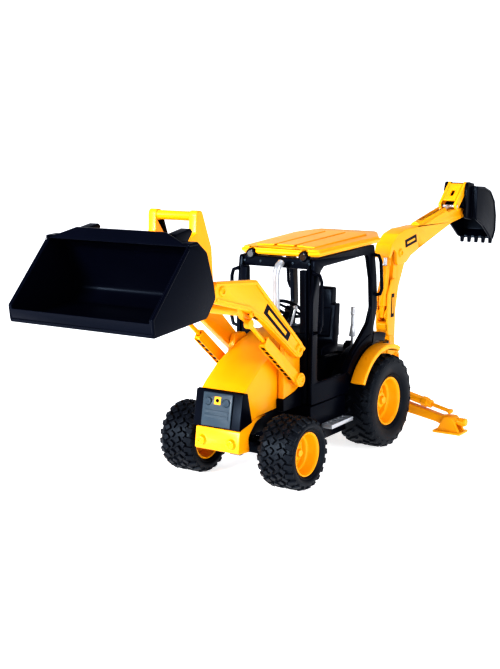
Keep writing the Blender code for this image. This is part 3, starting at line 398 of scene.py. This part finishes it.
WHEELS = []
for hand, sign in SIDES:
    WHEELS.append(("front", hand, sign, (sign * 40.45, 0, 24.8), 24.8, 27.7, 15.2))
    WHEELS.append(("rear", hand, sign, (sign * 34.7, 123.1, 35.0), 35.0, 29.8, 18.3))
for end, hand, sign, centre, radius, width, rim in WHEELS:
    grow = (rim - 0.1) / 15.2
    wide = width / 27.7
    dish = bmesh.new()
    hub = 1.6 if end == "rear" else 0.0
    turned(dish, [(r * grow, x * wide + (hub if r < 5 and x > 3.7 else 0)) for r, x in RIM_RINGS], centre, sign)
    for index in range(8):
        angle = math.tau * (index + 0.5) / 8
        spot = around(centre, 7.4 * grow, angle, sign * 0.7 * wide)
        screw_head(dish, spot, (sign, 0, 0), 0.75 * grow, 0.8)
    settled(dish, f"{end}_rim_dish_{hand}", f"{end}_wheel_{hand}", YELLOW, 0, 2,
            (f"{end}_rim_{hand}",), 38)

# ---------------------------------------------------------------- tyres
# Soft black tyres pressed over the rims. The front pair has a dense tread of staggered
# blocks, the rear pair long slanted bars that wrap over smooth shoulders.
# Its specular tint paints a bluish highlight into the rubber.
RUBBER = plastic("tyre_rubber", (0.0035, 0.0042, 0.0075), (0.006, 0.007, 0.010), 0.48, 0.16, 2200, 0.00014, 0.0, 0.0, 0.2,
                 (0.70, 0.85, 1.0))


def tread_block(edit, centre, radius, angle, out, size, slant, sink=0.0):
    """One lug: a tapered brick standing on the tyre, turned about its own upright."""
    long, wide, tall = size
    made = block(edit, (-long / 2, -wide / 2, -tall), (long / 2, wide / 2, 0))
    tops = [vert for vert in made if vert.co.z > -0.01]
    bmesh.ops.scale(edit, vec=(0.82, 0.76, 1), verts=tops)
    frame_turn = Matrix((Vector((1, 0, 0)), Vector((0, -math.sin(angle), math.cos(angle))),
                         Vector((0, math.cos(angle), math.sin(angle))))).transposed().to_4x4()
    tip = Matrix.Rotation(sink, 4, "Y")
    spot = Matrix.Translation(around(centre, radius, angle, out))
    bmesh.ops.transform(edit, matrix=spot @ frame_turn @ tip @ Matrix.Rotation(slant, 4, "Z"), verts=made)


for end, hand, sign, centre, radius, width, rim in WHEELS:
    half = width / 2
    lug = 1.9 if end == "front" else 1.5
    core = radius - lug
    wall = [(rim - 0.9, half * 0.72), (rim + 0.2, half * 0.83), (rim + 0.9, half * 0.90), (rim + 1.7, half * 0.925),
            (rim + 2.1, half * 0.90), (rim + 2.9, half * 0.955), (rim + (core - rim) * 0.55, half * 0.992),
            (core - 2.4, half * 0.965), (core - 1.0, half * 0.90), (core - 0.2, half * 0.78), (core, half * 0.55)]
    carcass = bmesh.new()
    turned(carcass, wall + [(r, -x) for r, x in reversed(wall)] + [wall[0]], centre, sign)
    settled(carcass, f"{end}_tyre_carcass_{hand}", f"{end}_wheel_{hand}", RUBBER, 0, 2,
            (f"{end}_tyre_{hand}",), 50)
    tread = bmesh.new()
    if end == "front":
        for index in range(22):
            angle = math.tau * index / 22
            pitch = math.tau / 22
            for flip in (-1, 1):
                start = angle + (pitch / 2 if flip > 0 else 0)
                tread_block(tread, centre, radius - 0.95, start, flip * half * 0.80, (6.2, 4.6, 3.0), flip * 0.18,
                            flip * 0.42)
                tread_block(tread, centre, radius - 0.25, start + pitch * 0.5, flip * half * 0.50, (4.6, 4.2, 2.4),
                            flip * 0.6)
                tread_block(tread, centre, radius - 0.18, start + pitch * 0.1, flip * half * 0.19, (4.4, 4.2, 2.4),
                            flip * -0.55)
    else:
        for index in range(24):
            angle = math.tau * index / 24
            for flip in (-1, 1):
                start = angle + (math.tau / 48 if flip > 0 else 0)
                tread_block(tread, centre, radius - 0.2, start + 0.10, flip * half * 0.34, (9.6, 3.4, 2.2), flip * 0.62)
                tread_block(tread, centre, radius - 0.75, start, flip * half * 0.74, (6.4, 4.4, 2.6), flip * 0.30,
                            flip * 0.26)
                tread_block(tread, centre, radius - 3.2, start - 0.02, flip * half * 0.945, (5.2, 4.4, 2.0),
                            0, flip * 1.15)
    settled(tread, f"{end}_tyre_tread_{hand}", f"{end}_wheel_{hand}", RUBBER, 0.35, 2)

# ---------------------------------------------------------------- cab
# The cab is an open black frame without glass: two side frames with grab handles, a header
# ring under the roof and a floor moulding with dashboard and seat box.
for hand, sign in SIDES:
    settled(working_copy(f"cab_side_{hand}"), f"cab_frame_{hand}", "machine", BLACK, 0.45, 3,
            (f"cab_side_{hand}",))
settled(working_copy("cab_top_frame"), "cab_header", "machine", BLACK, 0.4, 2, ("cab_top_frame",))
settled(working_copy("cab_tub"), "cab_floor_moulding", "machine", BLACK, 0.4, 2, ("cab_tub",))
corner = bmesh.new()
for low, high in ((26.2, 28.6), (-28.6, -26.2)):
    block(corner, (low, 41.6, 96), (high, 45.4, 141.4))
settled(corner, "cab_corner_fillers", "machine", BLACK, 0.3, 2)
inner = bmesh.new()
block(inner, (-25.8, 49.3, 143.4), (25.8, 50.3, 146.6))
for x in (-25.4, 25.4):
    block(inner, (x - 0.6, 49.3, 143.6), (x + 0.6, 112, 146.4))
settled(inner, "cab_header_lining", "machine", SLATE, 0.25, 2)
fixings = bmesh.new()
for x in (-27.2, 27.2, -13.6, 13.6):
    screw_head(fixings, (x * 0.98, 44.6, 144.6), (0, -1, 0), 0.9, 0.6)
settled(fixings, "cab_header_screws", "machine", SLATE)
lamp_rims = bmesh.new()
for x in (-21.7, 21.7):
    turn_lamp = Matrix.Translation((x, 44.3, 149.4)) @ Matrix.Rotation(math.radians(90), 4, "X")
    bead = bmesh.ops.create_circle(lamp_rims, cap_ends=False, segments=10, radius=0.45,
                                   matrix=turn_lamp @ Matrix.Translation((3.05, 0, 0))
                                   @ Matrix.Rotation(math.pi / 2, 4, "X"))
    bead_edges = list({edge for vert in bead["verts"] for edge in vert.link_edges})
    bmesh.ops.spin(lamp_rims, geom=bead["verts"] + bead_edges, cent=(x, 44.3, 149.4), axis=(0, 1, 0),
                   dvec=(0, 0, 0), angle=math.tau, steps=36, use_merge=True, use_duplicate=False)
settled(lamp_rims, "work_lamp_rims", "machine", BLACK)

# ---------------------------------------------------------------- seat
# A high-backed driver's seat in black plastic with a narrow headrest, side bolsters and a pad
# let into its back. The toy's pad is paler; here it is drawn in the same black.
seat = working_copy("seat")
settled(seat, "seat_shell", "seat_turntable", BLACK, 0.9, 4, ("seat",))
pad = bmesh.new()
slab(pad, "X", [(103.6, 82), (104.4, 84), (107.2, 104), (106.6, 104.4), (105.4, 104), (102.6, 84)], -8, 8)
for index in range(4):
    y = 103.5 + index * 1.0
    z = 86 + index * 4.4
    slab(pad, "X", [(y - 0.9, z), (y + 2, z), (y + 2, z + 1.7), (y - 0.7, z + 1.7)], -6.4, 6.4)
settled(pad, "seat_pad", "seat_turntable", BLACK, 0.5, 3)

# ---------------------------------------------------------------- steering wheel
# A thick black rim on four flat spokes with a round centre and a small turning knob.
COLUMN = Vector((0, 0.64, 0.77)).normalized()
hub_place = Vector((0, 60, 109.5))
rim_turn = Matrix.Translation(hub_place) @ COLUMN.to_track_quat("Z", "Y").to_matrix().to_4x4()
wheel = bmesh.new()
ring = bmesh.ops.create_circle(wheel, cap_ends=False, segments=14, radius=1.2,
                               matrix=Matrix.Translation((10.5, 0, 0)) @ Matrix.Rotation(math.pi / 2, 4, "X"))
bmesh.ops.spin(wheel, geom=ring["verts"] + list(wheel.edges), cent=(0, 0, 0), axis=(0, 0, 1), dvec=(0, 0, 0),
               angle=math.tau, steps=64, use_merge=True, use_duplicate=False)
for index in range(4):
    angle = math.tau * (index + 0.5) / 4
    bar(wheel, (1.5 * math.cos(angle), 1.5 * math.sin(angle), 0.2),
        (10.4 * math.cos(angle), 10.4 * math.sin(angle), 0), 0.95, 0.85, 14)
bar(wheel, (0, 0, -1.8), (0, 0, 1.4), 2.8, 2.3, 28)
bar(wheel, (9.8, 4.0, 0.8), (9.8, 4.0, 4.2), 1.0, 1.2, 18)
bmesh.ops.transform(wheel, matrix=rim_turn, verts=wheel.verts)
settled(wheel, "steering_wheel_rim", "steering", BLACK, 0, 2, ("steering_wheel",), 40)

# ---------------------------------------------------------------- levers
# Silver hand levers: two behind the seat for the digging arm, and short gear sticks beside
# the steering column.
SILVER = plastic("silver_plastic", (0.52, 0.54, 0.57), (0.42, 0.44, 0.47), 0.30, 0.12, 1500, 0.00008, 0.3, 0.55)
for hand, sign in SIDES:
    settled(working_copy(f"control_lever_{hand}"), f"digger_lever_{hand}", f"lever_{hand}", SILVER,
            0.25, 2, (f"control_lever_{hand}",))

    cone = bmesh.new()
    bar(cone, (sign * 7, 138.8, 77.5), (sign * 7, 139.2, 86), 2.7, 1.5)
    bar(cone, (sign * 7, 139.2, 86), (sign * 7, 139.8, 94.5), 1.5, 1.3)
    bar(cone, (sign * 7, 139.8, 94.5), (sign * 7, 140.1, 99.8), 2.1, 1.7)
    settled(cone, f"digger_lever_grip_{hand}", f"lever_{hand}", SILVER, 0.3, 2)
controls = bmesh.new()
for x, y, z in ((-7.6, 54, 111), (7.8, 55, 112)):
    rail(controls, [(x, 50, 99), (x * 1.12, y, z)], 0.8)
    bmesh.ops.create_uvsphere(controls, u_segments=16, v_segments=10, radius=1.7,
                              matrix=Matrix.Translation((x * 1.12, y, z)))
rail(controls, [(-13.4, 62, 51), (-13.4, 68, 74)], 0.9)
bmesh.ops.create_uvsphere(controls, u_segments=16, v_segments=10, radius=1.9,
                          matrix=Matrix.Translation((-13.4, 68, 75)))
settled(controls, "gear_sticks", "machine", SILVER)
dials = bmesh.new()
block(dials, (-9.6, 50.5, 99.2), (9.6, 55.5, 100.6))
for x in (-6, 0, 6):
    bar(dials, (x, 53, 100.2), (x, 53, 101.2), 1.7, 1.5)
settled(dials, "dash_dials", "machine", SLATE, 0.25, 2)
gaiters = bmesh.new()
for hand, sign in SIDES:
    for low, radius in ((70.2, 3.6), (71.4, 3.2), (72.6, 2.8)):
        bar(gaiters, (sign * 7, 131.4, low), (sign * 7, 131.4, low + 1.3), radius, radius * 0.86)
settled(gaiters, "lever_gaiters", "machine", BLACK, 0.3, 2)
LENS = plastic("lamp_lens", (0.010, 0.012, 0.018), (0.006, 0.008, 0.012), 0.12, 0.05, 500, 0.00005, 0.6, 0.0, 0.5)
lenses = bmesh.new()
for x in (-21.7, 21.7):
    bar(lenses, (x, 44.7, 149.4), (x, 43.9, 149.4), 2.8, 2.5, 32)
settled(lenses, "work_lamp_lenses", "machine", LENS, 0.2, 2)

# ---------------------------------------------------------------- roof
# A thin yellow lid with a rolled rim, its corners cut off, and a shallow raised panel on top.
settled(working_copy("roof"), "roof_lid", "machine", YELLOW, 0.8, 3, ("roof",), 24)

ridge = bmesh.new()
for x0, x1 in ((-24, -9.5), (-7, 7), (9.5, 24)):
    outline = [(x0, 56), (x1, 56), (x1 * 1.05, 128), (x0 * 1.05, 128)]
    top = [ridge.verts.new((x, y, 149 + 4.6 + (y - 46) * 0.038 + 1.5 * (1 - (x / 37) ** 2) + 0.35)) for x, y in outline]
    low = [ridge.verts.new((v.co.x, v.co.y, v.co.z - 1.2)) for v in top]
    ridge.faces.new(top)
    ridge.faces.new(low[::-1])
    for index in range(4):
        ridge.faces.new((top[index - 1], low[index - 1], low[index], top[index]))
settled(ridge, "roof_panels", "machine", YELLOW, 0.5, 3)
lip = bmesh.new()
for sign in (-1, 1):
    rail(lip, [(sign * 25.9, 46.7, 151.4), (sign * 31.2, 49.6, 151.6), (sign * 36.2, 126, 154.4)], 1.5)
rail(lip, [(-17.2, 46.6, 151.2), (17.2, 46.6, 151.2)], 1.5)
settled(lip, "roof_rolled_edge", "machine", YELLOW)

# ---------------------------------------------------------------- exhaust
# A silver stack standing on the hood, its mouth turned back over the cab.
settled(working_copy("exhaust"), "exhaust_stack", "machine", SILVER, 0.3, 2, ("exhaust",), 50)

# ---------------------------------------------------------------- steps and fenders
# Silver grated boards low on each side, and yellow bands arched over the rear wheels.
for hand, sign in SIDES:
    settled(working_copy(f"step_{hand}"), f"step_grating_{hand}", "machine", SILVER, 0.3, 2,
            (f"step_{hand}",))
    settled(working_copy(f"fender_{hand}"), f"fender_band_{hand}", "machine", YELLOW, 0.5, 3,
            (f"fender_{hand}",))

# ---------------------------------------------------------------- loader arms
# Two yellow cranked arms turn on towers beside the hood. A cross beam under the knees and
# two struts with round pins tie them together.
settled(working_copy("arm_cross_member"), "arm_cross_beam", "loader", YELLOW, 0.5, 3, ("arm_cross_member",))
for hand, sign in SIDES:
    settled(working_copy(f"loader_tower_{hand}"), f"loader_tower_plate_{hand}", "machine", YELLOW, 0.5, 3,
            (f"loader_tower_{hand}",))
    skirt = bmesh.new()
    low, high = sorted((sign * 18.2, sign * 23.9))
    slab(skirt, "X", [(14.8, 46.7), (38.2, 46.7), (38.2, 61.5), (30, 58.2), (14.8, 55.2)], low, high)
    settled(skirt, f"tower_skirt_{hand}", "machine", BLACK, 0.5, 2)
    settled(working_copy(f"loader_arm_{hand}"), f"loader_arm_beam_{hand}", "loader", YELLOW, 0.5, 3,
            (f"loader_arm_{hand}",))
    settled(working_copy(f"lift_strut_barrel_{hand}"), f"lift_barrel_cover_{hand}", f"lift_barrel_{hand}", YELLOW,
            0.35, 2, (f"lift_strut_barrel_{hand}",))
    settled(working_copy(f"lift_strut_rod_{hand}"), f"lift_rod_cover_{hand}", f"lift_rod_{hand}", YELLOW,
            0.25, 2, (f"lift_strut_rod_{hand}",))
settled(working_copy("hitch_frame"), "hitch_plates", "bucket", YELLOW, 0.5, 3, ("hitch_frame",))


def lengthwise(start, end, distance, offset):
    """A point (y, z) measured along a line in a side view, with an offset square to it."""
    run = (Vector(end) - Vector(start)).normalized()
    spot = Vector(start) + run * distance + Vector((-run.y, run.x)) * offset
    return spot.x, spot.y


for hand, sign in SIDES:
    low, high = sorted((sign * 28.6, sign * 29.35))
    crest = bmesh.new()
    slab(crest, "X", [(-67.5, 145.6), (-22.9, 141.3), (35.2, 88.0), (33.9, 86.5), (-24.0, 139.5), (-67.3, 143.8)],
         low, high)
    slab(crest, "X", [(-67.3, 134.6), (-32.2, 124.6), (-14.2, 114.4), (27.6, 82.6), (28.9, 84.3), (-13.0, 116.0),
                      (-31.4, 126.4), (-67.0, 136.4)], low, high)
    settled(crest, f"loader_arm_flanges_{hand}", "loader", YELLOW, 0.25, 2)
    pins = bmesh.new()
    out = sign * 28.5
    screw_head(pins, (out, -61, 140), (sign, 0, 0), 3.3, 1.5)
    screw_head(pins, (out, -29, 114.5 + 6.5), (sign, 0, 0), 2.2, 1.3)
    for y, z in ((-30.5, 141.3), (-50.5, 143.2)):
        bar(pins, (sign * 24.6, y, z), (sign * 28.0, y, z), 1.5)
    settled(pins, f"loader_arm_pins_{hand}", "loader", YELLOW)
    pivot = bmesh.new()
    screw_head(pivot, (out, 27.2, 88.4), (sign, 0, 0), 3.8, 1.6)
    settled(pivot, f"arm_pivot_cap_{hand}", "loader", YELLOW)
    band = bmesh.new()
    low, high = sorted((sign * 28.5, sign * 28.86))
    slab(band, "X", [lengthwise((-20, 128.5), (31, 85), t, o) for t, o in ((9, -3.6), (9, 3.6), (46, 3.2), (46, -3.2))],
         low, high)
    settled(band, f"loader_arm_stripe_{hand}", "loader", BLACK, 0.1, 1)
    marks = bmesh.new()
    low, high = sorted((sign * 28.7, sign * 29.0))
    slab(marks, "X", [lengthwise((-20, 128.5), (31, 85), t, o) for t, o in ((13, -1.3), (13, 1.3), (41, 1.3), (41, -1.3))],
         low, high)
    settled(marks, f"loader_arm_plain_block_{hand}", "loader", YELLOW, 0.08, 1)
    foot, head = (27.5, 67.4), (-29, 114.5)
    pockets = bmesh.new()
    low, high = sorted((sign * 24.4, sign * 28.0))
    for index in range(8):
        t = 5.5 + index * 5.7
        slab(pockets, "X", [lengthwise(foot, head, t + a, o) for a, o in ((0, 3.0), (0, 3.62), (3.7, 3.62), (3.7, 3.0))],
             low, high)
    settled(pockets, f"lift_barrel_pockets_{hand}", f"lift_barrel_{hand}", BLACK, 0.1, 1)
    rails = bmesh.new()
    for x in (24.1, 28.3):
        low, high = sorted((sign * (x - 0.35), sign * (x + 0.35)))
        slab(rails, "X", [lengthwise(foot, head, t, o) for t, o in ((-1, 3.0), (-1, 4.3), (51.6, 4.3), (51.6, 3.0))],
             low, high)
    settled(rails, f"lift_barrel_rails_{hand}", f"lift_barrel_{hand}", YELLOW, 0.15, 2)
    window = bmesh.new()
    slab(window, "X", [lengthwise((-32, 123.3), (-14, 113), t, o) for t, o in ((5, -0.5), (5, 0.25), (14, 0.25), (14, -0.5))],
         sign * 26.2 - 1.5, sign * 26.2 + 1.5)
    settled(window, f"knee_window_{hand}", "loader", BLACK, 0.1, 1)
    disc = bmesh.new()
    screw_head(disc, (sign * 30.5, 27.5, 67.4), (sign, 0, 0), 3.4, 0.9)
    settled(disc, f"lift_foot_cap_{hand}", f"lift_barrel_{hand}", YELLOW)

# ---------------------------------------------------------------- loader bucket
# A wide black bucket with a thick lip, thin side plates and two hooks on its back.
settled(working_copy("loader_bucket"), "loading_bucket", "bucket", BLACK, 0.5, 3, ("loader_bucket",))
beads = bmesh.new()
for sign in (-1, 1):
    rail(beads, [(sign * 53.2, -159.6, 131.2), (sign * 53.2, -160.4, 139), (sign * 53.2, -127.6, 173.6)], 0.95)
    rail(beads, [(sign * 53.2, -126.4, 176.2), (sign * 53.2, -118.9, 176.4)], 0.95)
block(beads, (-53.2, -160.6, 129.6), (53.2, -152.5, 131.0))
settled(beads, "bucket_edge_beads", "bucket", BLACK)
wear = bmesh.new()
for x in (-36, -18, 0, 18, 36):
    slab(wear, "X", [(-156, 129.4), (-112, 132.0), (-104.4, 141.2), (-103.0, 140.4), (-110.4, 131.0), (-156, 128.4)],
         x - 1.6, x + 1.6)
settled(wear, "bucket_wear_strips", "bucket", BLACK, 0.25, 2)

# ---------------------------------------------------------------- digging arm
# The boom stands on a yellow swivel post behind the cab. A jointed dipper, silver rods and a
# tipping link work the small black bucket at its end.
for node, body, name, finish, slot, soft in (
        ("swing_post", "swing", "swivel_post", YELLOW, "yellow", 0.5),
        ("boom", "boom_body", "boom_beam", YELLOW, "yellow", 0.5),
        ("dipper", "dipper_body", "dipper_beam", YELLOW, "yellow", 0.5),
        ("dipper_ram_barrel", "ram_barrel_body", "dipper_ram_tube", YELLOW, "yellow", 0.4),
        ("dipper_ram_rod", "ram_rod_body", "dipper_ram_shaft", SILVER, "silver", 0.25),
        ("bucket_ram_rod", "dig_rod_body", "bucket_ram_shaft", SILVER, "silver", 0.25),
        ("tipping_link", "link_body", "tipping_plate", YELLOW, "yellow", 0.4),
        ("backhoe_bucket", "dig_bucket", "digging_bucket", BLACK, "black", 0.4),
        ("rear_axle", "machine", "rear_axle_bar", SILVER, "silver", 0.3)):
    settled(working_copy(node), name, body, finish, soft, 3, (node,))

for sign in (-1, 1):
    side_name = "left" if sign > 0 else "right"
    low, high = sorted((sign * 5.3, sign * 5.62))
    band = bmesh.new()
    slab(band, "X", [(204.6, 82), (209.8, 82), (210.4, 101), (205.8, 101)], low, high)
    settled(band, f"boom_stripe_{side_name}", "boom_body", BLACK, 0.1, 1)
    low, high = sorted((sign * 5.5, sign * 5.74))
    marks = bmesh.new()
    slab(marks, "X", [(206.3, 85), (208.8, 85), (209.2, 98), (206.8, 98)], low, high)
    settled(marks, f"boom_plain_block_{side_name}", "boom_body", YELLOW, 0.08, 1)
    caps = bmesh.new()
    screw_head(caps, (sign * 3.9, 210, 50), (sign, 0, 0), 3.6, 4.9)
    settled(caps, f"boom_foot_cap_{side_name}", "boom_body", YELLOW)
    knuckle = bmesh.new()
    screw_head(knuckle, (sign * 6.9, 218, 133), (sign, 0, 0), 3.6, 1.4)
    screw_head(knuckle, (sign * 5.5, 338, 156), (sign, 0, 0), 2.4, 0.9)
    settled(knuckle, f"dipper_pin_caps_{side_name}", "dipper_body", YELLOW)
    low, high = sorted((sign * 6.9, sign * 7.25))
    band = bmesh.new()
    slab(band, "X", [lengthwise((226, 139.5), (248, 143), t, o) for t, o in ((0, -3.2), (0, 3.2), (20, 3.2), (20, -3.2))],
         low, high)
    settled(band, f"dipper_stripe_{side_name}", "dipper_body", BLACK, 0.1, 1)
    marks = bmesh.new()
    low, high = sorted((sign * 7.1, sign * 7.4))
    slab(marks, "X", [lengthwise((226, 139.5), (248, 143), t, o) for t, o in ((3, -1), (3, 1), (17, 1), (17, -1))],
         low, high)
    settled(marks, f"dipper_plain_block_{side_name}", "dipper_body", YELLOW, 0.08, 1)
    ribs = bmesh.new()
    shell = [(381.5, 130.6), (386.3, 137), (386.9, 150), (383.4, 163.2), (375.2, 171.8), (361.8, 176.4), (348, 178)]
    rail(ribs, [(sign * 15.7, y, z) for y, z in shell], 0.8)
    rail(ribs, [(sign * 15.7, 345.4, 149.8), (sign * 15.7, 360.4, 143), (sign * 15.7, 375.4, 132.2)], 0.8)
    outer = [(383.4, 129.8), (387.2, 136), (387.9, 150), (384.4, 163.9), (375.9, 172.8), (362, 177.4)]
    rail(ribs, [(sign * 6.4, y, z) for y, z in outer], 0.8)
    settled(ribs, f"digging_bucket_ribs_{side_name}", "dig_bucket", BLACK)

# ---------------------------------------------------------------- stabilisers
# Each leg folds down from the rear bracket on a short ram and stands on a hinged foot.
for hand, sign in SIDES:
    for node, body, name in ((f"stabiliser_leg_{hand}", f"stabiliser_{hand}", f"stabiliser_beam_{hand}"),
                             (f"stabiliser_ram_barrel_{hand}", f"leg_barrel_{hand}", f"stabiliser_tube_{hand}"),
                             (f"stabiliser_ram_rod_{hand}", f"leg_rod_{hand}", f"stabiliser_shaft_{hand}"),
                             (f"stabiliser_foot_{hand}", f"foot_{hand}", f"stabiliser_shoe_{hand}")):
        settled(working_copy(node), name, body, YELLOW, 0.4, 3, (node,))
    foot = Vector((sign * 14.0, 185, 29.5))
    way = (Vector((sign * 68.5, 185, 16.4)) - foot).normalized()
    collar = bmesh.new()
    bar(collar, foot + way * 31.4, foot + way * 36.1, 3.9)
    bar(collar, foot + way * 9, foot + way * 10.4, 3.6)
    settled(collar, f"stabiliser_collar_{hand}", f"leg_barrel_{hand}", YELLOW, 0.35, 2)
    knob = bmesh.new()
    for start in (76.2, 78.0, 79.8):
        bar(knob, (sign * start, 185, 9.2), (sign * (start + 1.1), 185, 9.2), 3.25)
    settled(knob, f"stabiliser_knob_{hand}", f"stabiliser_{hand}", YELLOW, 0.3, 2)
    pins = bmesh.new()
    for x, z, radius in ((20, 17.5, 2.6), (14, 29.5, 2.4)):
        screw_head(pins, (sign * x, 188, z), (0, 1, 0), radius, 1.0)
    settled(pins, f"stabiliser_pin_caps_{hand}", "machine", BLACK)
